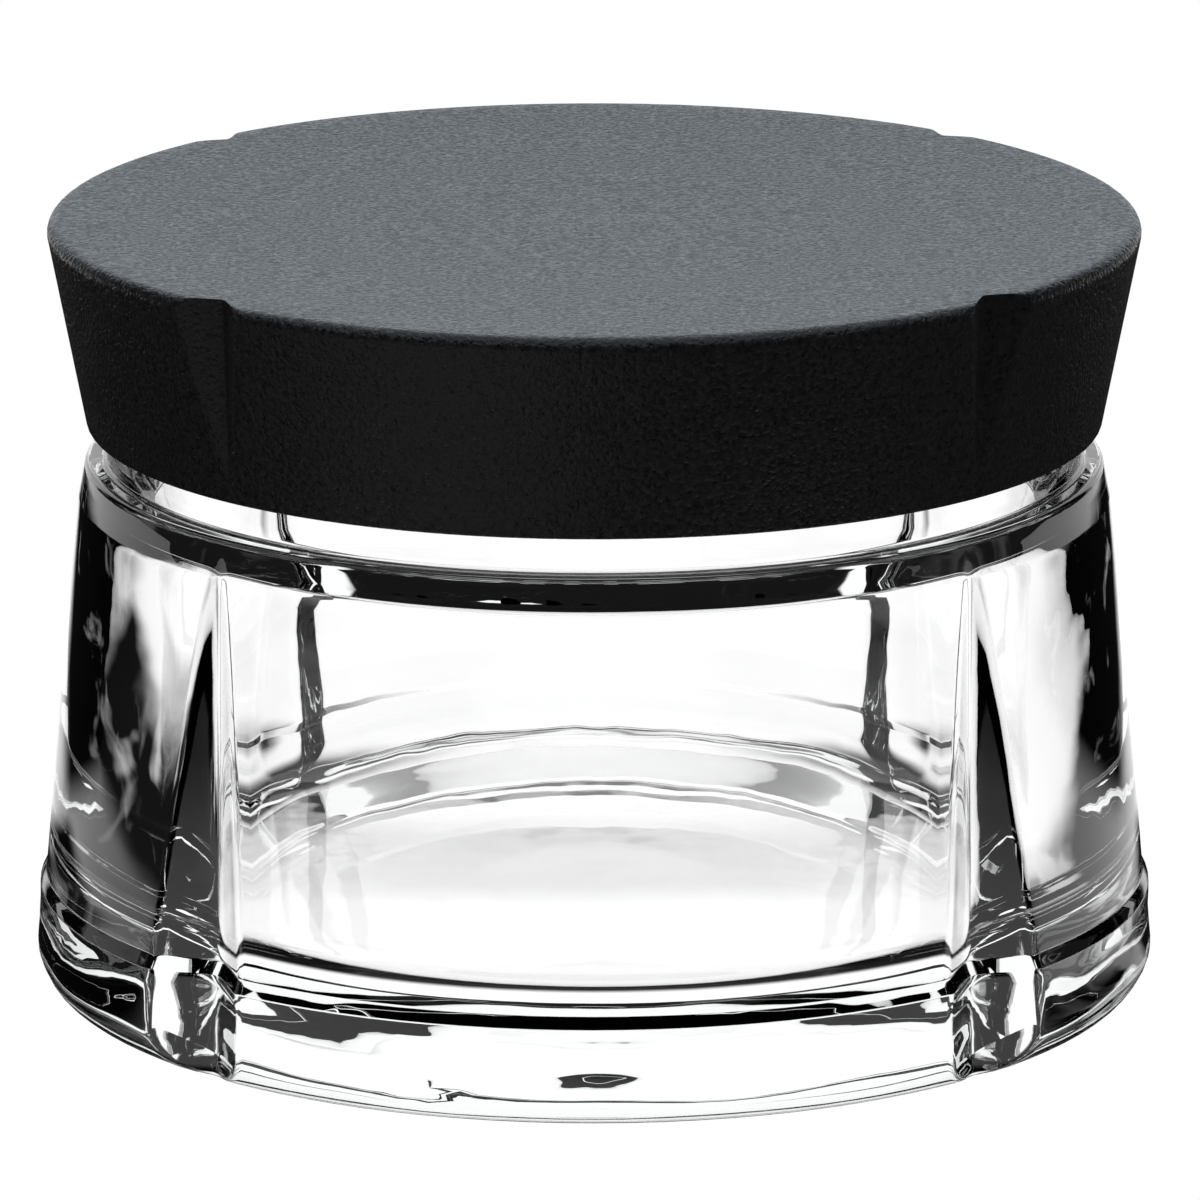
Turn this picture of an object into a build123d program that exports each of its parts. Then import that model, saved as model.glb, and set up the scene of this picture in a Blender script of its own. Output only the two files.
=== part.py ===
from build123d import *
import math
import os

# Squat storage jar of pressed glass with a lift-off plastic lid. Millimetres.
# The origin is the centre of the base on the surface it stands on, +Z is up and -Y is the front.
# Everything is turned about Z, except four V-grooves that run down the lid and the glass at 45 degrees
# to the front. Every outline below is a list of (radius, height) points.

# --- overall ---
GROOVE_ANGLES = [45, 135, 225, 315]  # directions of the four grooves about Z, in degrees
GROOVE_HALF_ANGLE = 57.5  # between a groove's face and the radius through its bottom, in degrees

# --- glass: foot and wall ---
FOOT_R = 47.55  # largest radius of the glass
FOOT_WIDEST_Z = 3.7
FOOT_BEARING_R = 44.2  # outer edge of the ring that it stands on
FOOT_TOP_R = 47.12  # where the foot ends in a small sloping ledge
FOOT_TOP_Z = 8.7
WALL_FOOT_R = 46.6  # where the ledge meets the wall
WALL_FOOT_Z = 9.8
LEDGE_ROUND = 0.4
SEAM_R = 43.5  # wall radius at the mould seam, where the shoulder begins
SEAM_Z = 42.3
SHOULDER_R = 42.85  # the shoulder leans in more than the wall, up to this edge
SHOULDER_Z = 45.4
SHOULDER_ROUND = 0.7
PUNT_R = 36.0  # inner edge of the ring that it stands on
PUNT_RISE = 1.6  # hollow under the base
PUNT_EDGE_ROUND = 1.2

# --- glass: neck and cavity ---
NECK_R = 41.1
NECK_ROOT_ROUND = 0.5
MOUTH_Z = 60.0
RIM_ROUND = 0.7
MOUTH_BORE_R = 39.5
STEP_TOP_R = 39.4  # bore radius at the top of the sloping step inside the shoulder
STEP_TOP_Z = 44.4
STEP_LOW_R = 37.6  # cavity radius just below the step
STEP_LOW_Z = 41.2
STEP_ROUND = 0.8
FLOOR_R = 37.4  # cavity radius at the floor, before its corner is rounded
FLOOR_Z = 7.6
FLOOR_CORNER = 4.5
FLOOR_CROWN = 0.5  # the floor rises this much towards its middle

# --- glass grooves ---
GLASS_GROOVE_LOW_R = 43.7  # radius of the groove's bottom line at the base
GLASS_GROOVE_TOP_R = 43.4  # and where it runs out of the wall
GLASS_GROOVE_TOP_Z = 42.4
GLASS_GROOVE_ROUND = 0.8
FOOT_GROOVE_STEP = 0.5  # the grooves are this much shallower in the foot, so the ledge runs through them

# --- lid cap ---
LID_BOTTOM_Z = 48.6
LID_BOTTOM_R = 42.7
LID_TOP_Z = 65.9
LID_CORNER_R = 46.05  # where the side would meet the top if the rim were sharp
LID_RIM_ROUND = 1.0
LID_RIM_WIDTH = 2.4  # from that corner to the edge of the dish
LID_BOTTOM_ROUND = 0.3
LID_DISH = 1.0  # depth of the shallow dish in the top
LID_SKIRT_BORE_R = 41.6  # inside of the skirt at its lower edge
LID_INNER_TOP_R = 42.0
LID_INNER_TOP_Z = 62.7
LID_GROOVE_TOP_R = 43.7
LID_GROOVE_LOW_R = 43.05
LID_GROOVE_LOW_Z = 50.5
LID_GROOVE_ROUND = 0.3
SNAP_BEAD = 0.55  # how far the bead that holds the plug stands in from the skirt
SNAP_BEAD_HEIGHT = 0.9

LID_TURN = 1.4  # the lid rests turned this far from the glass's grooves, in degrees

# --- lid plug ---
FLANGE_GAP = 0.05  # between the flange and the inside of the skirt
FLANGE_ROUND = 0.4  # where the flange meets the plug
FLANGE_TOP_Z = LID_INNER_TOP_Z
FLANGE_LOW_Z = MOUTH_Z + 0.4
PLUG_R = 38.3
PLUG_BORE_R = 34.7
PLUG_LOW_Z = 50.4
PLUG_FLOOR = 1.8
PLUG_LOW_ROUND = 1.0
PLUG_FLOOR_ROUND = 0.8
PLUG_RIBS = 6
RIB_THICKNESS = 1.4
RIB_HEIGHT = 6.0
RIB_OVERLAP = 0.5  # how far the ribs run into the plug's wall
HUB_R = 6.0

# --- seal ---
SEAL_LOW_Z = 53.0
SEAL_TOP_Z = 57.4
SEAL_GROOVE_R = 36.4
SEAL_CLEARANCE = 0.12  # between the seal and the plug, and between the seal's lips and the glass
SEAL_BACK = 1.0  # thickness of the seal behind its lips
SEAL_LIPS = 3
SEAL_LIP_FLAT = 0.48  # share of a lip's height that is flat at its tip
SEAL_LIP_ROOT = 0.84  # share of its height that it takes up at the seal's back


def turned(face):
    """The solid that a face of (radius, height) makes when it is turned about Z."""
    return revolve(Plane.XZ * face, Axis.Z)


def rounded(face, corners):
    """The face with each listed corner rounded. corners holds (radius, height, size of the rounding)."""
    for radius, height, size in corners:
        corner = face.vertices().sort_by_distance(Vector(radius, height, 0))[0]
        face = fillet(corner, size)
    return face


def groove_cutters(low_r, low_z, high_r, high_z, bottom_round, reach=12.0):
    """Four V-shaped cutters whose bottom line runs from (low_r, low_z) to (high_r, high_z)."""
    half_width = reach * math.tan(math.radians(GROOVE_HALF_ANGLE))
    vee = make_face(Polyline((0, 0), (reach, half_width), (reach, -half_width), close=True))
    vee = rounded(vee, [(0, 0, bottom_round)])
    # Rounding moves the bottom line outwards by this much, so the cutter is set in by as much.
    set_in = bottom_round / math.sin(math.radians(GROOVE_HALF_ANGLE)) - bottom_round
    run = Vector(high_r - low_r, 0, high_z - low_z)
    vee = Pos(low_r - set_in, 0, low_z) * vee
    cutter = extrude(vee, amount=run.length, dir=run)
    return [Rot(0, 0, angle) * cutter for angle in GROOVE_ANGLES]


def along(low, high, z):
    """The radius at height z on the straight line through two (radius, height) points."""
    return low[0] + (high[0] - low[0]) * (z - low[1]) / (high[1] - low[1])


def glass_jar():
    """The pressed-glass body: heavy foot, tapered wall with four grooves, shoulder, neck and round cavity."""
    outside = [
        Line((0, PUNT_RISE), (0, FLOOR_Z + FLOOR_CROWN)),
        ThreePointArc(
            (0, PUNT_RISE),
            (PUNT_R / 2, PUNT_RISE * 0.75),
            (PUNT_R, 0),
        ),
        Line((PUNT_R, 0), (FOOT_BEARING_R, 0)),
        TangentArc((FOOT_R, FOOT_WIDEST_Z), (FOOT_BEARING_R, 0), tangent=(0, -1)),
        Line((FOOT_R, FOOT_WIDEST_Z), (FOOT_TOP_R, FOOT_TOP_Z)),
        Line((FOOT_TOP_R, FOOT_TOP_Z), (WALL_FOOT_R, WALL_FOOT_Z)),
        Line((WALL_FOOT_R, WALL_FOOT_Z), (SEAM_R, SEAM_Z)),
        Line((SEAM_R, SEAM_Z), (SHOULDER_R, SHOULDER_Z)),
        Line((SHOULDER_R, SHOULDER_Z), (NECK_R, SHOULDER_Z)),
        Line((NECK_R, SHOULDER_Z), (NECK_R, MOUTH_Z)),
        Line((NECK_R, MOUTH_Z), (MOUTH_BORE_R, MOUTH_Z)),
    ]
    inside = [
        Line((MOUTH_BORE_R, MOUTH_Z), (STEP_TOP_R, STEP_TOP_Z)),
        Line((STEP_TOP_R, STEP_TOP_Z), (STEP_LOW_R, STEP_LOW_Z)),
        Line((STEP_LOW_R, STEP_LOW_Z), (FLOOR_R, FLOOR_Z)),
        Line((FLOOR_R, FLOOR_Z), (0, FLOOR_Z + FLOOR_CROWN)),
    ]
    face = make_face(outside + inside)
    face = rounded(
        face,
        [
            (PUNT_R, 0, PUNT_EDGE_ROUND),
            (FOOT_TOP_R, FOOT_TOP_Z, LEDGE_ROUND),
            (WALL_FOOT_R, WALL_FOOT_Z, LEDGE_ROUND),
            (SHOULDER_R, SHOULDER_Z, SHOULDER_ROUND),
            (NECK_R, SHOULDER_Z, NECK_ROOT_ROUND),
            (NECK_R, MOUTH_Z, RIM_ROUND),
            (MOUTH_BORE_R, MOUTH_Z, RIM_ROUND),
            (STEP_TOP_R, STEP_TOP_Z, STEP_ROUND),
            (STEP_LOW_R, STEP_LOW_Z, STEP_ROUND),
            (FLOOR_R, FLOOR_Z, FLOOR_CORNER),
        ],
    )
    jar = turned(face)
    top = (GLASS_GROOVE_TOP_R, GLASS_GROOVE_TOP_Z)
    low = (GLASS_GROOVE_LOW_R, 0)
    over = 3.0  # the cutters run past the base and past the point where the grooves end
    ledge_z = (FOOT_TOP_Z + WALL_FOOT_Z) / 2
    wall_cutters = groove_cutters(
        along(low, top, ledge_z),
        ledge_z,
        along(low, top, GLASS_GROOVE_TOP_Z + over),
        GLASS_GROOVE_TOP_Z + over,
        GLASS_GROOVE_ROUND,
    )
    foot_cutters = groove_cutters(
        along(low, top, -over) + FOOT_GROOVE_STEP,
        -over,
        along(low, top, ledge_z) + FOOT_GROOVE_STEP,
        ledge_z,
        GLASS_GROOVE_ROUND,
    )
    return jar - wall_cutters - foot_cutters


def lid_cap():
    """The black shell of the lid: dished top, flared side with four grooves, and a bead for the plug."""
    skirt = (LID_SKIRT_BORE_R, LID_BOTTOM_Z)
    inner_top = (LID_INNER_TOP_R, LID_INNER_TOP_Z)
    bead_top = FLANGE_LOW_Z
    bead_low = bead_top - SNAP_BEAD_HEIGHT
    bead_r = along(skirt, inner_top, bead_top) - SNAP_BEAD
    bead_tip_z = bead_top - SNAP_BEAD_HEIGHT / 3
    dish_r = LID_CORNER_R - LID_RIM_WIDTH
    face = make_face(
        [
            Line((0, LID_INNER_TOP_Z), (0, LID_TOP_Z - LID_DISH)),
            ThreePointArc(
                (0, LID_TOP_Z - LID_DISH),
                (dish_r / 2, LID_TOP_Z - LID_DISH * 0.75),
                (dish_r, LID_TOP_Z),
            ),
            Line((dish_r, LID_TOP_Z), (LID_CORNER_R, LID_TOP_Z)),
            Line((LID_CORNER_R, LID_TOP_Z), (LID_BOTTOM_R, LID_BOTTOM_Z)),
            Line((LID_BOTTOM_R, LID_BOTTOM_Z), skirt),
            Line(skirt, (along(skirt, inner_top, bead_low), bead_low)),
            Line((along(skirt, inner_top, bead_low), bead_low), (bead_r, bead_tip_z)),
            Line((bead_r, bead_tip_z), (bead_r, bead_top)),
            Line((bead_r, bead_top), (along(skirt, inner_top, bead_top), bead_top)),
            Line((along(skirt, inner_top, bead_top), bead_top), inner_top),
            Line(inner_top, (0, LID_INNER_TOP_Z)),
        ]
    )
    face = rounded(
        face,
        [
            (LID_CORNER_R, LID_TOP_Z, LID_RIM_ROUND),
            (LID_BOTTOM_R, LID_BOTTOM_Z, LID_BOTTOM_ROUND),
        ],
    )
    cap = turned(face)
    top = (LID_GROOVE_TOP_R, LID_TOP_Z)
    low = (LID_GROOVE_LOW_R, LID_GROOVE_LOW_Z)
    over = 1.5  # the cutters run past the top and past the point where the grooves end
    cutters = groove_cutters(
        along(low, top, LID_GROOVE_LOW_Z - over),
        LID_GROOVE_LOW_Z - over,
        along(low, top, LID_TOP_Z + over),
        LID_TOP_Z + over,
        LID_GROOVE_ROUND,
    )
    return Rot(0, 0, LID_TURN) * (cap - cutters)


def lid_plug():
    """The cup under the cap that enters the neck. Its flange snaps in above the cap's bead."""
    skirt = (LID_SKIRT_BORE_R, LID_BOTTOM_Z)
    inner_top = (LID_INNER_TOP_R, LID_INNER_TOP_Z)
    flange_r = along(skirt, inner_top, FLANGE_LOW_Z) - FLANGE_GAP
    floor_top = PLUG_LOW_Z + PLUG_FLOOR
    face = make_face(
        Polyline(
            (0, PLUG_LOW_Z),
            (PLUG_R, PLUG_LOW_Z),
            (PLUG_R, SEAL_LOW_Z),
            (SEAL_GROOVE_R, SEAL_LOW_Z),
            (SEAL_GROOVE_R, SEAL_TOP_Z),
            (PLUG_R, SEAL_TOP_Z),
            (PLUG_R, FLANGE_LOW_Z),
            (flange_r, FLANGE_LOW_Z),
            (flange_r, FLANGE_TOP_Z),
            (PLUG_BORE_R, FLANGE_TOP_Z),
            (PLUG_BORE_R, floor_top),
            (0, floor_top),
            close=True,
        )
    )
    face = rounded(
        face,
        [
            (PLUG_R, PLUG_LOW_Z, PLUG_LOW_ROUND),
            (PLUG_R, FLANGE_LOW_Z, FLANGE_ROUND),
            (PLUG_BORE_R, floor_top, PLUG_FLOOR_ROUND),
        ],
    )
    plug = turned(face)
    hub = Pos(0, 0, floor_top) * Cylinder(HUB_R, RIB_HEIGHT, align=(Align.CENTER, Align.CENTER, Align.MIN))
    plug += hub - Pos(0, 0, floor_top) * Cylinder(
        HUB_R - RIB_THICKNESS,
        RIB_HEIGHT,
        align=(Align.CENTER, Align.CENTER, Align.MIN),
    )
    rib_start = HUB_R - RIB_THICKNESS / 2
    rib = Pos(rib_start, 0, floor_top) * Box(
        PLUG_BORE_R - rib_start + RIB_OVERLAP,
        RIB_THICKNESS,
        RIB_HEIGHT,
        align=(Align.MIN, Align.CENTER, Align.MIN),
    )
    for step in range(PLUG_RIBS):
        plug += Rot(0, 0, 360 / PLUG_RIBS * step) * rib
    return plug


def seal_ring():
    """The silicone ring in the plug's groove, with soft lips towards the inside of the neck."""
    back_r = SEAL_GROOVE_R + SEAL_CLEARANCE
    body_r = back_r + SEAL_BACK
    low_z = SEAL_LOW_Z + SEAL_CLEARANCE
    top_z = SEAL_TOP_Z - SEAL_CLEARANCE
    lip_pitch = (top_z - low_z) / SEAL_LIPS
    tip_half = lip_pitch * SEAL_LIP_FLAT / 2
    root_half = lip_pitch * SEAL_LIP_ROOT / 2
    points = [(back_r, low_z), (body_r, low_z)]
    for step in range(SEAL_LIPS):
        middle = low_z + lip_pitch * (step + 0.5)
        bore = along((STEP_TOP_R, STEP_TOP_Z), (MOUTH_BORE_R, MOUTH_Z), middle)
        points.append((body_r, middle - root_half))
        points.append((bore - SEAL_CLEARANCE, middle - tip_half))
        points.append((bore - SEAL_CLEARANCE, middle + tip_half))
        points.append((body_r, middle + root_half))
    points.append((body_r, top_z))
    points.append((back_r, top_z))
    return turned(make_face(Polyline(*points, close=True)))


os.makedirs("parts", exist_ok=True)
for make_piece in (glass_jar, lid_cap, lid_plug, seal_ring):
    export_step(make_piece(), f"parts/{make_piece.__name__}.step")
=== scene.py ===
import bpy
import math
import numpy as np
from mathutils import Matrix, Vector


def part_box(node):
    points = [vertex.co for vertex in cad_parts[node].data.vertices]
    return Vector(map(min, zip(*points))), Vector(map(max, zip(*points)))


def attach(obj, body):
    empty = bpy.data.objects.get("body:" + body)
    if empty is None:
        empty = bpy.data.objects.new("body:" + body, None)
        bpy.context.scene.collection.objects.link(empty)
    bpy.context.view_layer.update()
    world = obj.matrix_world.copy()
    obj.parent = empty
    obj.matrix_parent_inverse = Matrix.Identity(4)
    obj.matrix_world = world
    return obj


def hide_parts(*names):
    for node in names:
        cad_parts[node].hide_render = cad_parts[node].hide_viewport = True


# A squat pressed-glass jar with a black plastic lid. Metres, +Z up, -Y is the front.
# The glass and the lid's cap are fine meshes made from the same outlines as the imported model, with the soft
# edges and slight waves that pressed glass has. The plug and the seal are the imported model's own pieces.

MM = 0.001
ARC_STEP = math.radians(9)  # rounded corners are drawn in steps of no more than this

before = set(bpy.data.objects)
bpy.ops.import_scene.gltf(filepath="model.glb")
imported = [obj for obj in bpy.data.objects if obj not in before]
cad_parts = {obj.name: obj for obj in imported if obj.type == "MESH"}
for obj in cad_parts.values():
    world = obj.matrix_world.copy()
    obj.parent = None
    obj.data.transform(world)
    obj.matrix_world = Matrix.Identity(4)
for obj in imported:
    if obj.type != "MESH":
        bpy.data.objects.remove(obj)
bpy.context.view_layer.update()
jar_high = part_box("glass_jar")[1]
cap_low, cap_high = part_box("lid_cap")

# --- sizes in millimetres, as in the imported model; the boxes of the nodes are its largest ones ---
GROOVE_CENTRES = (45, 135, 225, 315)  # degrees about Z
GROOVE_HALF_ANGLE = math.radians(57.5)  # between a groove's face and the radius through its bottom
LID_TURN = 1.4  # degrees

# Glass, from the foot up and down again inside.
PUNT_R = 36.0  # the hollow under the base
PUNT_RISE = 1.6
FOOT_BEARING_R = 44.0  # outer edge of the ring that it stands on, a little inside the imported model's
FOOT_R = jar_high.x / MM
FOOT_TOP_R = 47.12  # where the foot ends in a small sloping ledge
FOOT_TOP_Z = 8.7
WALL_FOOT_R = 46.6  # where the ledge meets the wall
WALL_FOOT_Z = 9.8
SEAM_R = 43.5  # at the mould seam, where the shoulder begins
SEAM_Z = 42.3
SHOULDER_R = 42.85
SHOULDER_Z = 45.4
NECK_R = 41.1
MOUTH_Z = jar_high.z / MM
MOUTH_BORE_R = 39.5
STEP_TOP_R = 39.4  # the sloping step inside the shoulder
STEP_TOP_Z = 44.4
STEP_LOW_R = 37.6
STEP_LOW_Z = 41.2
FLOOR_R = 37.4
FLOOR_Z = 7.6
FLOOR_MIDDLE_Z = 8.1

GLASS_GROOVE_LOW_R = 43.7  # bottom line of a groove at the base, and where it runs out of the wall
GLASS_GROOVE_TOP_R = 43.4
GLASS_GROOVE_TOP_Z = 42.4
FOOT_GROOVE_STEP = 0.5  # the grooves are this much shallower in the foot
FOOT_GROOVE_FADE = 1.2  # the height over which they get so

DENT_DEPTH = 0.35  # the dent in the foot, at the front left
DENT_ANGLE = math.radians(251.0)
DENT_WIDTH = math.radians(5.0)
DENT_Z = 3.4
DENT_HEIGHT = 1.1
DENT_LEAN = 1.2

# Cap, from the rim down and up again inside.
LID_TOP_Z = cap_high.z / MM
LID_BOTTOM_Z = cap_low.z / MM
LID_DISH = 1.0
LID_CORNER_R = 46.05  # where the side would meet the top if the rim were sharp
LID_RIM_WIDTH = 2.4
LID_BOTTOM_R = 42.7
SKIRT_BORE_R = 41.6
BEAD_START_R = 41.9  # where the bead that holds the plug begins
BEAD_START_Z = 59.5
BEAD_R = 41.38
BEAD_LOW_Z = 60.1
BEAD_TOP_Z = 60.4
BEAD_END_R = 41.93
LID_INNER_TOP_R = 42.0
LID_INNER_TOP_Z = 62.7

LID_GROOVE_TOP_R = 43.7
LID_GROOVE_LOW_R = 43.05
LID_GROOVE_LOW_Z = 50.5

# --- camera and light ---
CAMERA_AWAY = 0.914  # metres in front of the middle of the jar
CAMERA_HEIGHT = 0.2696
CAMERA_DOWN = 14.54  # degrees below level
FLOOR_SIZE = 8.0
FLOOR_DROP = 0.0002  # keeps the floor from sharing a plane with the jar's foot
GLOW_AFTER_BOUNCES = 9.5  # rays caught in the glass for longer than this get a painted glow instead
GLASS_LOSS = 0.11  # what the light loses on its way through the jar


def corner(radius, height, rounding=0.0):
    """A corner of an outline, in millimetres."""
    return radius, height, rounding


def outline(corners, step):
    """Points along a polyline whose corners are rounded, no further apart than step. The ends stay sharp."""
    points = [np.array(corners[0][:2], float)]
    for before, here, after in zip(corners, corners[1:], corners[2:]):
        p = np.array(here[:2], float)
        to_before = np.array(before[:2]) - p
        to_after = np.array(after[:2]) - p
        to_before /= np.linalg.norm(to_before)
        to_after /= np.linalg.norm(to_after)
        rounding = here[2]
        if rounding == 0:
            points.append(p)
            continue
        half = math.acos(np.clip(to_before @ to_after, -1, 1)) / 2
        reach = rounding / math.tan(half)
        start = p + to_before * reach
        middle_way = to_before + to_after
        centre = p + middle_way / np.linalg.norm(middle_way) * rounding / math.sin(half)
        turn = math.pi - 2 * half
        cross = to_before[0] * to_after[1] - to_before[1] * to_after[0]
        side = 1 if cross < 0 else -1
        count = max(3, math.ceil(turn / ARC_STEP))
        for i in range(count + 1):
            angle = side * turn * i / count
            c, s = math.cos(angle), math.sin(angle)
            arm = start - centre
            points.append(centre + np.array([c * arm[0] - s * arm[1], s * arm[0] + c * arm[1]]))
    points.append(np.array(corners[-1][:2], float))
    fine = [points[0]]
    for a, b in zip(points, points[1:]):
        count = max(1, math.ceil(np.linalg.norm(b - a) / step))
        fine += [a + (b - a) * i / count for i in range(1, count + 1)]
    return np.array(fine)


def soft_min(a, b, width):
    """The smaller of a and b, rounded over where they cross."""
    h = np.clip(0.5 + 0.5 * (b - a) / width, 0, 1)
    return b * (1 - h) + a * h - width * h * (1 - h)


def groove_columns(edge):
    """Angles of the mesh's columns about a groove's bottom line, for the angle of the groove's edge at each
    height. Columns follow the edges, so that these are clean lines."""
    # Shares of the way from a groove's bottom to its edge, and from its edge to halfway to the next groove.
    inside = np.array([0, 0.04, 0.1, 0.18, 0.3, 0.45, 0.6, 0.75, 0.86, 0.93, 1.0])
    outside = np.array(
        [0.012, 0.026, 0.045, 0.08, 0.13, 0.19, 0.26, 0.34, 0.42, 0.5, 0.58, 0.66, 0.75, 0.84, 0.92, 1.0]
    )
    half = math.radians(45)
    columns = [edge[:, None] * inside[None, :], edge[:, None] + (half - edge[:, None]) * outside[None, :]]
    right = np.concatenate(columns, axis=1)
    return np.concatenate([-right[:, :0:-1], right[:, :-1]], axis=1)


def closed_mesh(name, grid, ends):
    """A closed piece from rows of points about Z and the two points on the axis that close it."""
    rows, cols = grid.shape[:2]
    vertices = np.concatenate([grid.reshape(-1, 3), ends]) * MM
    faces = []
    for i in range(rows - 1):
        for j in range(cols):
            k = (j + 1) % cols
            faces.append((i * cols + j, i * cols + k, (i + 1) * cols + k, (i + 1) * cols + j))
    first, last = rows * cols, rows * cols + 1
    for j in range(cols):
        k = (j + 1) % cols
        faces.append((first, k, j))
        faces.append((last, (rows - 1) * cols + j, (rows - 1) * cols + k))

    mesh = bpy.data.meshes.new(name)
    mesh.from_pydata(vertices.tolist(), [], faces)
    mesh.validate()
    mesh.polygons.foreach_set("use_smooth", [True] * len(mesh.polygons))
    piece = bpy.data.objects.new(name, mesh)
    bpy.context.scene.collection.objects.link(piece)
    return piece


def grooved_solid(name, points, groove_r, turn=0.0, bottom_round=0.5, edge_round=0.5, waves=None):
    """A closed mesh of an outline turned about Z, with four V-grooves. groove_r gives the radius of a
    groove's bottom line at a height."""
    alpha = GROOVE_HALF_ANGLE
    least_edge = math.radians(0.5)  # keeps the columns apart where there is no groove
    usual_r = 44.0  # turns the rounding of the groove's bottom into an angle
    no_groove = 1e3  # a radius that cuts nothing
    radius, height = points[1:-1, 0], points[1:-1, 1]
    bottom = groove_r(height)
    reach = alpha - np.arcsin(np.clip(bottom * math.sin(alpha) / np.maximum(radius, 1e-6), -1, 1))
    sector = groove_columns(np.clip(reach, least_edge, None))
    eps = bottom_round / usual_r
    soft = np.sqrt(sector**2 + eps**2) - eps
    fits = soft < alpha * 0.8  # beyond this a groove's face is far outside the glass
    face_r = bottom[:, None] * math.sin(alpha) / np.sin(alpha - np.where(fits, soft, 0))
    groove = np.where(fits, face_r, no_groove)
    r_sector = soft_min(radius[:, None] + 0 * sector, groove, edge_round)
    r_sector = np.where(groove < no_groove, r_sector, radius[:, None])
    angles = np.concatenate([sector + math.radians(centre + turn) for centre in GROOVE_CENTRES], axis=1)
    radii = np.concatenate([r_sector] * len(GROOVE_CENTRES), axis=1)
    heights = height[:, None] + 0 * angles
    if waves is not None:
        radii = waves(angles, radii, heights)
    grid = np.stack([radii * np.cos(angles), radii * np.sin(angles), heights], axis=2)
    ends = np.array([[0, 0, points[0, 1]], [0, 0, points[-1, 1]]])
    return closed_mesh(name, grid, ends)


# --- glass jar ---
def glass_outline():
    """From the middle of the underside, out and up the wall, over the rim, and down to the floor's middle."""
    corners = [corner(0, PUNT_RISE)]
    corners += [corner(PUNT_R * t, PUNT_RISE * (1 - t * t)) for t in (0.25, 0.5, 0.75)]
    corners += [
        corner(PUNT_R, 0, 1.2),
        corner(FOOT_BEARING_R, 0, 0),
        corner(FOOT_R, 0, 3.6),
        corner(FOOT_TOP_R, FOOT_TOP_Z, 0.35),
        corner(WALL_FOOT_R, WALL_FOOT_Z, 0.6),
        corner(SEAM_R, SEAM_Z, 1.5),
        corner(SHOULDER_R, SHOULDER_Z, 0.7),
        corner(NECK_R, SHOULDER_Z, 0.5),
        corner(NECK_R, MOUTH_Z, 0.8),
        corner(MOUTH_BORE_R, MOUTH_Z, 0.7),
        corner(STEP_TOP_R, STEP_TOP_Z, 0.8),
        corner(STEP_LOW_R, STEP_LOW_Z, 0.8),
        corner(FLOOR_R, FLOOR_Z, 4.5),
        corner(0, FLOOR_MIDDLE_Z),
    ]
    return outline(corners, 1.0)


def glass_groove(z):
    """Radius of the bottom line of the glass's grooves at height z."""
    line = GLASS_GROOVE_LOW_R + (GLASS_GROOVE_TOP_R - GLASS_GROOVE_LOW_R) * z / GLASS_GROOVE_TOP_Z
    foot_share = np.clip((WALL_FOOT_Z - z) / FOOT_GROOVE_FADE, 0, 1)
    return line + FOOT_GROOVE_STEP * foot_share


def glass_waves(angle, radius, height):
    """The radius with the slight waves that pressed glass has, none at the bearing ring and the rim. The foot
    has waves of its own and one shallow dent."""
    wave = (
        0.020 * np.sin(3 * angle + 0.8 + 0.11 * height)
        + 0.012 * np.sin(7 * angle - 1.3 + 0.23 * height)
        + 0.010 * np.sin(13 * angle + 0.4 - 0.31 * height)
        + 0.008 * np.sin(0.55 * height + 2 * angle)
    )
    wavy = np.clip((height - 3) / 5, 0, 1) * np.clip((57 - height) / 4, 0, 1)
    foot = 0.05 * np.sin(9 * angle + 0.9 * height) + 0.03 * np.sin(17 * angle - 1.1 * height + 0.6)
    outside = radius > MOUTH_BORE_R + 0.5
    foot_share = np.clip((8.5 - height) / 2, 0, 1) * np.clip((height - 0.6) / 1.5, 0, 1) * outside
    aside = (angle - DENT_ANGLE) / DENT_WIDTH
    up = (height - DENT_Z + DENT_LEAN * aside) / DENT_HEIGHT
    dent = DENT_DEPTH * np.exp(-(aside**2) - up**2) * outside
    # The waves go inwards only, so that the glass stays within its box.
    return radius + (wave - 0.03) * wavy + (foot - 0.08) * foot_share - dent


# --- node helpers; a mask is a socket that runs from 0 to 1 ---
def maths(tree, operation, a, b=None):
    """A math node's result. a and b are sockets or numbers."""
    node = tree.nodes.new("ShaderNodeMath")
    node.operation = operation
    for socket, value in zip(node.inputs, (a, b)):
        if isinstance(value, (int, float)):
            socket.default_value = value
        elif value is not None:
            tree.links.new(value, socket)
    return node.outputs[0]


def over(tree, value, edge, width):
    """0 below the edge, 1 above it, with a soft step of the given width."""
    node = tree.nodes.new("ShaderNodeMapRange")
    node.interpolation_type = "SMOOTHSTEP"
    node.inputs["From Min"].default_value = edge - width / 2
    node.inputs["From Max"].default_value = edge + width / 2
    tree.links.new(value, node.inputs["Value"])
    return node.outputs["Result"]


def opposite(tree, mask):
    """1 where the mask is 0 and 0 where it is 1."""
    return maths(tree, "SUBTRACT", 1.0, mask)


def scaled(tree, value, factor):
    """The value times a number."""
    return maths(tree, "MULTIPLY", value, factor)


def under(tree, value, edge, width):
    """1 below the edge, 0 above it, with a soft step."""
    return opposite(tree, over(tree, value, edge, width))


def between(tree, value, low, low_width, high, high_width):
    """1 between low and high, with a soft step of its own width at each of them."""
    return all_of(tree, over(tree, value, low, low_width), under(tree, value, high, high_width))


def all_of(tree, *masks):
    """The product of the masks."""
    result = masks[0]
    for mask in masks[1:]:
        result = maths(tree, "MULTIPLY", result, mask)
    return result


def any_of(tree, *masks):
    """The largest of the masks."""
    result = masks[0]
    for mask in masks[1:]:
        result = maths(tree, "MAXIMUM", result, mask)
    return result


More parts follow.
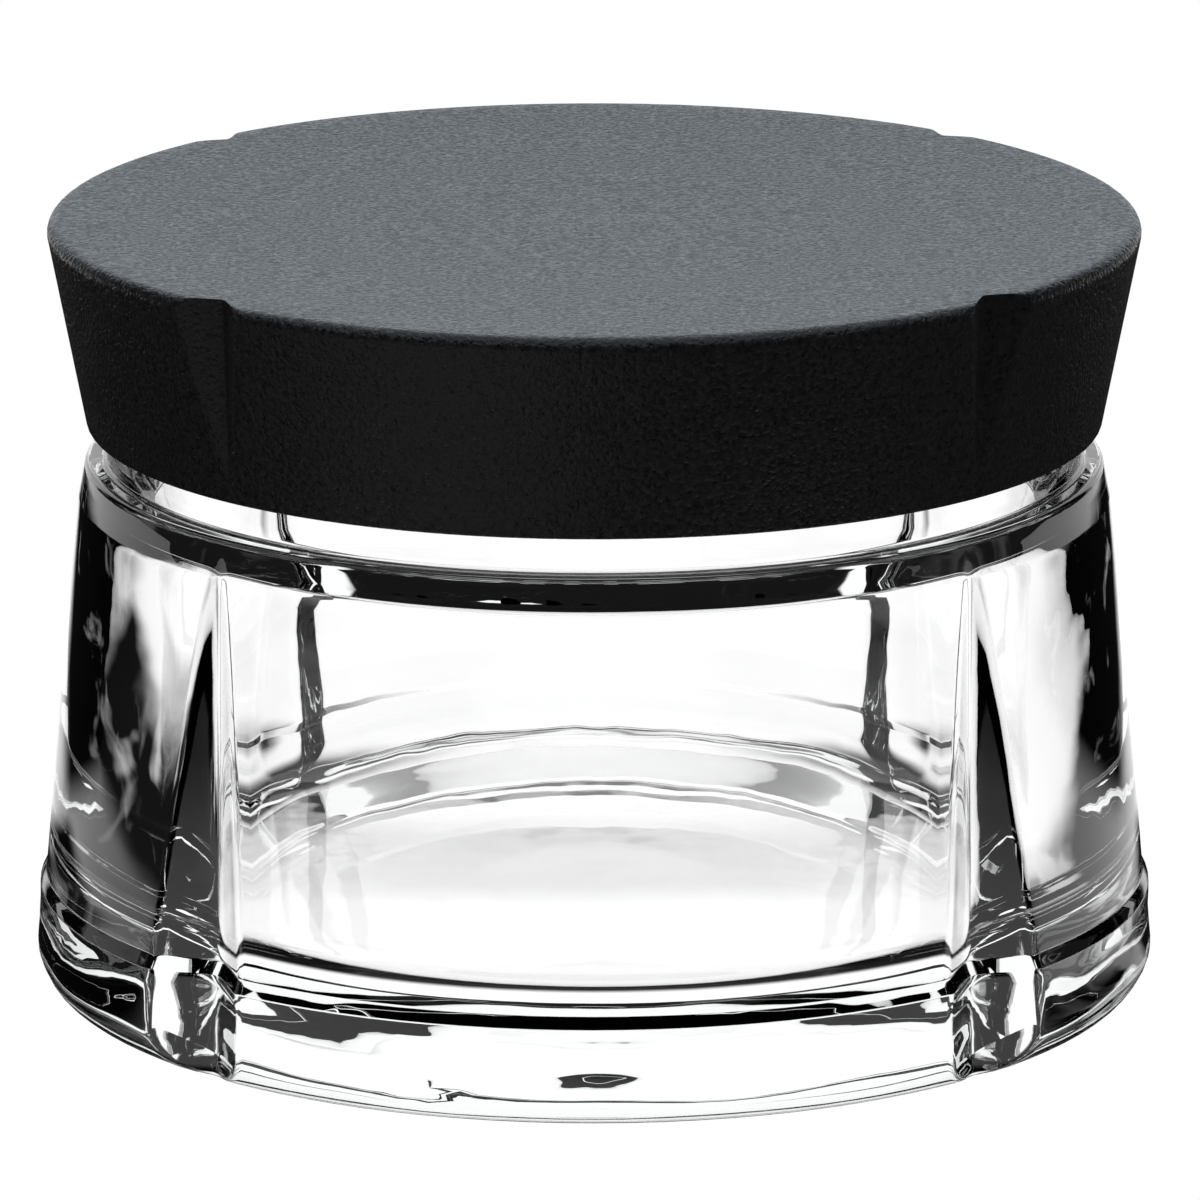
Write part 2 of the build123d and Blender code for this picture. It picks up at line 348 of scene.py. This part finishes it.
def streaks(tree, vector_socket, scale, share, amount):
    """Pale streaks: 0 over the given share of the area, up to amount elsewhere."""
    texture = tree.nodes.new("ShaderNodeTexNoise")
    texture.inputs["Scale"].default_value = scale
    texture.inputs["Detail"].default_value = 3.0
    texture.inputs["Distortion"].default_value = 1.0
    tree.links.new(vector_socket, texture.inputs["Vector"])
    pale = over(tree, texture.outputs["Fac"], 0.3 + 0.4 * share, 0.12)
    return scaled(tree, pale, amount)


def seen_by_lid(tree):
    """1 for what a matt surface mirrors, 0 for what the smooth glass shows and for what the camera sees."""
    path = tree.nodes.new("ShaderNodeLightPath")
    matt = maths(tree, "SUBTRACT", path.outputs["Is Glossy Ray"], path.outputs["Is Singular Ray"])
    return maths(tree, "MAXIMUM", matt, 0.0)


def lamp_strength(tree, amount, path):
    """The strength for an amount from 0 to 1, a little more through the glass to make up for its losses."""
    less = scaled(tree, path.outputs["Is Camera Ray"], GLASS_LOSS)
    most = maths(tree, "SUBTRACT", 1.0 + GLASS_LOSS, less)
    return maths(tree, "ADD", maths(tree, "MULTIPLY", amount, most), 0.008)


# --- materials ---
def new_material(name):
    """A material with its nodes, its links and its shader."""
    material = bpy.data.materials.new(name)
    material.use_nodes = True
    nodes = material.node_tree.nodes
    return material, nodes, material.node_tree.links, nodes["Principled BSDF"]


def noise(nodes, links, scale, detail=4.0, roughness=0.5):
    """A noise in object space, with scale in waves per metre."""
    place = nodes.new("ShaderNodeTexCoord")
    texture = nodes.new("ShaderNodeTexNoise")
    texture.inputs["Scale"].default_value = scale
    texture.inputs["Detail"].default_value = detail
    texture.inputs["Roughness"].default_value = roughness
    links.new(place.outputs["Object"], texture.inputs["Vector"])
    return texture


def bump(nodes, links, height_socket, depth):
    """Bump of the given depth in metres."""
    node = nodes.new("ShaderNodeBump")
    node.inputs["Strength"].default_value = 1.0
    node.inputs["Distance"].default_value = depth
    links.new(height_socket, node.inputs["Height"])
    return node


def ranged(nodes, links, socket, low, high, start=0.3, end=0.7):
    """The socket's start to end carried to low to high."""
    node = nodes.new("ShaderNodeMapRange")
    node.inputs["From Min"].default_value = start
    node.inputs["From Max"].default_value = end
    node.inputs["To Min"].default_value = low
    node.inputs["To Max"].default_value = high
    links.new(socket, node.inputs["Value"])
    return node.outputs["Result"]


def glass_material():
    """Clear pressed glass: fire-polished, with faint waves."""
    material, nodes, links, shader = new_material("pressed_glass")
    shader.inputs["Base Color"].default_value = (1, 1, 1, 1)
    shader.inputs["Transmission Weight"].default_value = 1.0
    shader.inputs["IOR"].default_value = 1.52
    shader.inputs["Roughness"].default_value = 0.0
    waves = noise(nodes, links, 120, detail=2.0)
    uneven = bump(nodes, links, waves.outputs["Fac"], 0.00003)
    links.new(uneven.outputs["Normal"], shader.inputs["Normal"])
    absorb = nodes.new("ShaderNodeVolumeAbsorption")
    absorb.inputs["Color"].default_value = (0.86, 0.93, 0.90, 1)
    absorb.inputs["Density"].default_value = 4.0
    links.new(absorb.outputs["Volume"], nodes["Material Output"].inputs["Volume"])
    # A painted glow stands in for the light on rays caught in the glass: it keeps the foot from having black
    # spots, and higher up it is faint.
    path = nodes.new("ShaderNodeLightPath")
    deep = maths(material.node_tree, "GREATER_THAN", path.outputs["Ray Depth"], GLOW_AFTER_BOUNCES)
    place = nodes.new("ShaderNodeSeparateXYZ")
    links.new(nodes.new("ShaderNodeNewGeometry").outputs["Position"], place.inputs["Vector"])
    painted_glow = nodes.new("ShaderNodeEmission")
    strength = ranged(nodes, links, place.outputs["Z"], 0.012, 1.0, start=0.013, end=0.009)
    links.new(strength, painted_glow.inputs["Strength"])
    mixed = nodes.new("ShaderNodeMixShader")
    links.new(deep, mixed.inputs["Fac"])
    links.new(shader.outputs["BSDF"], mixed.inputs[1])
    links.new(painted_glow.outputs["Emission"], mixed.inputs[2])
    links.new(mixed.outputs["Shader"], nodes["Material Output"].inputs["Surface"])
    return material


def lid_material():
    """Black moulded plastic with a fine grain."""
    material, nodes, links, shader = new_material("lid_plastic")
    grain = noise(nodes, links, 2300, detail=1.0, roughness=0.7)
    colour = nodes.new("ShaderNodeMix")
    colour.data_type = "RGBA"
    colour.inputs["A"].default_value = (0.0060, 0.0060, 0.0062, 1)
    colour.inputs["B"].default_value = (0.0150, 0.0151, 0.0156, 1)
    links.new(ranged(nodes, links, grain.outputs["Fac"], 0.0, 1.0), colour.inputs["Factor"])
    links.new(colour.outputs["Result"], shader.inputs["Base Color"])
    links.new(ranged(nodes, links, grain.outputs["Fac"], 0.26, 0.52), shader.inputs["Roughness"])
    shader.inputs["IOR"].default_value = 1.5
    links.new(bump(nodes, links, grain.outputs["Fac"], 0.00016).outputs["Normal"], shader.inputs["Normal"])
    return material


def plug_material():
    """Smooth black plastic inside the lid."""
    material, nodes, links, shader = new_material("plug_plastic")
    grain = noise(nodes, links, 900, detail=3.0)
    shader.inputs["Base Color"].default_value = (0.010, 0.010, 0.011, 1)
    links.new(ranged(nodes, links, grain.outputs["Fac"], 0.30, 0.40), shader.inputs["Roughness"])
    links.new(bump(nodes, links, grain.outputs["Fac"], 0.00001).outputs["Normal"], shader.inputs["Normal"])
    return material


def silicone_material():
    """Milky translucent silicone."""
    material, nodes, links, shader = new_material("silicone")
    grain = noise(nodes, links, 500, detail=3.0)
    shader.inputs["Base Color"].default_value = (0.82, 0.83, 0.82, 1)
    shader.inputs["Subsurface Weight"].default_value = 0.6
    shader.inputs["Subsurface Scale"].default_value = 0.002
    links.new(ranged(nodes, links, grain.outputs["Fac"], 0.35, 0.45), shader.inputs["Roughness"])
    links.new(bump(nodes, links, grain.outputs["Fac"], 0.00001).outputs["Normal"], shader.inputs["Normal"])
    return material


def finish_with(piece, material):
    """Puts one material on the whole piece."""
    if not piece.material_slots:
        piece.data.materials.append(material)
        return
    for spot in piece.material_slots:
        spot.link = "OBJECT"
        spot.material = material


jar = grooved_solid(
    "glass_body",
    glass_outline(),
    glass_groove,
    bottom_round=0.8,
    edge_round=0.35,
    waves=glass_waves,
)
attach(jar, "jar")
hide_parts("glass_jar")
finish_with(jar, glass_material())


# --- lid cap ---
def cap_outline():
    """From the middle of the top, out over the rim, down the side, and back up inside the skirt."""
    dish_r = LID_CORNER_R - LID_RIM_WIDTH
    corners = [corner(0, LID_TOP_Z - LID_DISH)]
    corners += [
        corner(dish_r * t, LID_TOP_Z - LID_DISH * (1 - t * t))
        for t in (0.15, 0.3, 0.45, 0.6, 0.75, 0.88)
    ]
    corners += [
        corner(dish_r, LID_TOP_Z),
        corner(LID_CORNER_R, LID_TOP_Z, 1.0),
        corner(LID_BOTTOM_R, LID_BOTTOM_Z, 0.25),
        corner(SKIRT_BORE_R, LID_BOTTOM_Z, 0.25),
        corner(BEAD_START_R, BEAD_START_Z, 0.2),
        corner(BEAD_R, BEAD_LOW_Z, 0.2),
        corner(BEAD_R, BEAD_TOP_Z),
        corner(BEAD_END_R, BEAD_TOP_Z),
        corner(LID_INNER_TOP_R, LID_INNER_TOP_Z),
        corner(0, LID_INNER_TOP_Z),
    ]
    return outline(corners, 0.9)


def cap_groove(z):
    """Radius of the bottom line of the cap's grooves at height z."""
    share = (z - LID_GROOVE_LOW_Z) / (LID_TOP_Z - LID_GROOVE_LOW_Z)
    return LID_GROOVE_LOW_R + (LID_GROOVE_TOP_R - LID_GROOVE_LOW_R) * share


cap = grooved_solid(
    "lid_shell",
    cap_outline()[::-1],
    cap_groove,
    turn=LID_TURN,
    bottom_round=0.3,
    edge_round=0.2,
)
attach(cap, "lid")
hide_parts("lid_cap")
finish_with(cap, lid_material())

finish_with(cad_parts["lid_plug"], plug_material())
finish_with(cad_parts["seal_ring"], silicone_material())


# --- studio ---
def painted_glass_patches(tree, place, x, y, radius):
    """Painted reflections and painted shade: dark patches on the floor that only the glass shows, standing in
    for black flags beside the jar and for the shade under the jar's own foot. Metres.
    """
    aside = maths(tree, "ABSOLUTE", x)
    behind_foot = maths(tree, "SUBTRACT", y, scaled(tree, aside, 0.6))
    # Painted shade: a dark ring on the floor under the jar's foot.
    painted_foot_shade = all_of(
        tree,
        between(tree, radius, 0.0375, 0.003, 0.049, 0.004),
        under(tree, behind_foot, 0.025, 0.015),
    )
    left_side = all_of(tree, under(tree, aside, 0.087, 0.012), under(tree, x, 0.0, 0.001))
    right_side = all_of(tree, under(tree, aside, 0.062, 0.012), over(tree, x, 0.0, 0.001))
    close_by = all_of(
        tree,
        any_of(tree, left_side, right_side),
        over(tree, aside, 0.042, 0.006),
        over(tree, radius, 0.046, 0.004),
        between(tree, y, -0.03, 0.02, 0.051, 0.012),
    )
    behind_side = all_of(
        tree,
        between(tree, aside, 0.082, 0.02, 0.26, 0.05),
        between(tree, y, 0.056, 0.025, 0.25, 0.05),
    )
    left_out = all_of(
        tree,
        between(tree, x, -0.21, 0.03, -0.13, 0.02),
        between(tree, y, -0.04, 0.02, 0.08, 0.02),
    )
    # Painted reflections: dark patches standing in for black flags beside the jar, broken up by pale streaks.
    painted_cards = any_of(tree, close_by, behind_side, left_out)
    painted_cards = all_of(tree, painted_cards, opposite(tree, streaks(tree, place, 30.0, 0.86, 0.6)))
    return any_of(tree, painted_foot_shade, painted_cards)


def painted_front_reflection(tree, x, y):
    """Painted reflection: a dark patch on the floor in front of the jar, standing in for a dark room, which
    both the glass and the lid mirror.
    """
    aside = maths(tree, "ABSOLUTE", x)
    at_side = all_of(tree, under(tree, y, -0.02, 0.02), over(tree, aside, 0.1, 0.02))
    before = any_of(tree, scaled(tree, under(tree, y, -0.1, 0.06), 0.75), at_side)
    return all_of(tree, before, over(tree, y, -0.45, 0.1), under(tree, aside, 0.4, 0.1))


def painted_lid_reflection(tree, x, y, strip):
    """Painted reflection for the lid: dark all round but for the back, and a paler strip to the front left,
    which is painted light on the lid's grooves.
    """
    aside = maths(tree, "ABSOLUTE", x)
    round_lid = any_of(tree, over(tree, aside, 0.05, 0.02), under(tree, y, -0.05, 0.02))
    return all_of(
        tree,
        round_lid,
        under(tree, y, 0.35, 0.1),
        opposite(tree, scaled(tree, strip, 0.25)),
    )


def floor_shade(tree, x, y):
    """The faint shade seen through the jar's floor."""
    aside = maths(tree, "ABSOLUTE", x)
    shade = all_of(
        tree,
        under(tree, aside, 0.024, 0.02),
        between(tree, y, 0.001, 0.008, 0.021, 0.012),
    )
    return scaled(tree, shade, 0.32)


def floor_material():
    """A pale floor, evenly bright to the camera. The dark patches in it are painted reflections and painted
    shade, seen only in what the glass and the lid mirror and refract.
    """
    material = bpy.data.materials.new("floor_pale")
    material.use_nodes = True
    tree = material.node_tree
    tree.nodes.clear()
    out = tree.nodes.new("ShaderNodeOutputMaterial")
    glow = tree.nodes.new("ShaderNodeEmission")
    tree.links.new(glow.outputs["Emission"], out.inputs["Surface"])

    place = tree.nodes.new("ShaderNodeNewGeometry").outputs["Position"]
    split = tree.nodes.new("ShaderNodeSeparateXYZ")
    tree.links.new(place, split.inputs["Vector"])
    x, y = split.outputs["X"], split.outputs["Y"]
    reach = tree.nodes.new("ShaderNodeVectorMath")
    reach.operation = "LENGTH"
    tree.links.new(place, reach.inputs[0])

    for_matt = seen_by_lid(tree)
    # Painted light for the lid: a paler strip on the floor to the front left, which the lid's groove faces
    # mirror.
    strip = all_of(
        tree,
        between(tree, y, -0.30, 0.05, -0.10, 0.03),
        under(tree, x, -0.01, 0.02),
    )
    in_front = all_of(tree, painted_front_reflection(tree, x, y), opposite(tree, all_of(tree, strip, for_matt)))
    dark = any_of(
        tree,
        painted_glass_patches(tree, place, x, y, reach.outputs["Value"]),
        in_front,
        all_of(tree, painted_lid_reflection(tree, x, y, strip), for_matt),
        all_of(tree, floor_shade(tree, x, y), opposite(tree, for_matt)),
    )
    path = tree.nodes.new("ShaderNodeLightPath")
    mirrored = opposite(tree, path.outputs["Is Camera Ray"])
    amount = opposite(tree, all_of(tree, dark, mirrored))
    tree.links.new(lamp_strength(tree, amount, path), glow.inputs["Strength"])
    return material


def sky_panel(tree, x, y, spread):
    """A pale panel behind the jar, narrower for a larger spread."""
    beside = maths(tree, "MULTIPLY", maths(tree, "ABSOLUTE", x), spread)
    return over(tree, maths(tree, "SUBTRACT", y, beside), 0.03, 0.12)


def sky():
    """The surroundings: a pale panel behind, paler streaks beside it, and soft light from overhead."""
    world = bpy.data.worlds.new("studio")
    world.use_nodes = True
    bpy.context.scene.world = world
    tree = world.node_tree
    background = tree.nodes["Background"]
    direction = tree.nodes.new("ShaderNodeTexCoord").outputs["Generated"]
    split = tree.nodes.new("ShaderNodeSeparateXYZ")
    tree.links.new(direction, split.inputs["Vector"])
    x, y, z = split.outputs["X"], split.outputs["Y"], split.outputs["Z"]

    # The panel reaches about 33 degrees to either side low down, and further higher up.
    narrowing = maths(tree, "SUBTRACT", 1.5, scaled(tree, over(tree, z, 0.5, 0.3), 0.5))
    panel_top = all_of(tree, over(tree, z, 0.8, 0.08), over(tree, y, 0.08, 0.1))
    panel = any_of(tree, sky_panel(tree, x, y, narrowing), panel_top)
    overhead = scaled(tree, over(tree, z, 0.68, 0.25), 0.6)
    pale = all_of(tree, streaks(tree, direction, 3.2, 0.72, 0.5), over(tree, y, -0.2, 0.4))
    path = tree.nodes.new("ShaderNodeLightPath")
    for_glass = any_of(tree, panel, overhead, pale, path.outputs["Is Camera Ray"])

    # The lid, being matt, mirrors the middle of the panel only, and it mirrors it a little bluish.
    for_lid = any_of(tree, sky_panel(tree, x, y, 1.7), overhead)
    for_matt = seen_by_lid(tree)
    lit = tree.nodes.new("ShaderNodeMix")
    tree.links.new(for_matt, lit.inputs["Factor"])
    tree.links.new(for_glass, lit.inputs["A"])
    tree.links.new(for_lid, lit.inputs["B"])
    tree.links.new(lamp_strength(tree, lit.outputs["Result"], path), background.inputs["Strength"])
    tint = tree.nodes.new("ShaderNodeMix")
    tint.data_type = "RGBA"
    tint.inputs["A"].default_value = (1, 1, 1, 1)
    tint.inputs["B"].default_value = (0.86, 0.95, 1.03, 1)
    tree.links.new(for_matt, tint.inputs["Factor"])
    tree.links.new(tint.outputs["Result"], background.inputs["Color"])


def studio():
    """Floor, sky and camera."""
    bpy.ops.mesh.primitive_plane_add(size=FLOOR_SIZE, location=(0, 0, -FLOOR_DROP))
    floor = bpy.context.object
    floor.name = "floor"
    floor.data.materials.append(floor_material())
    sky()

    scene = bpy.context.scene
    scene.view_settings.view_transform = "Standard"
    # The camera stands in front of the jar and looks down at it.
    camera = bpy.data.cameras.new("camera")
    camera.lens = 335  # millimetres
    camera.sensor_width = 36
    camera.shift_x = 0.00475
    camera.clip_start = 0.05
    eye = bpy.data.objects.new("camera", camera)
    eye.location = (0, -CAMERA_AWAY, CAMERA_HEIGHT)
    eye.rotation_euler = (math.radians(90 - CAMERA_DOWN), 0, 0)
    scene.collection.objects.link(eye)
    scene.camera = eye


studio()
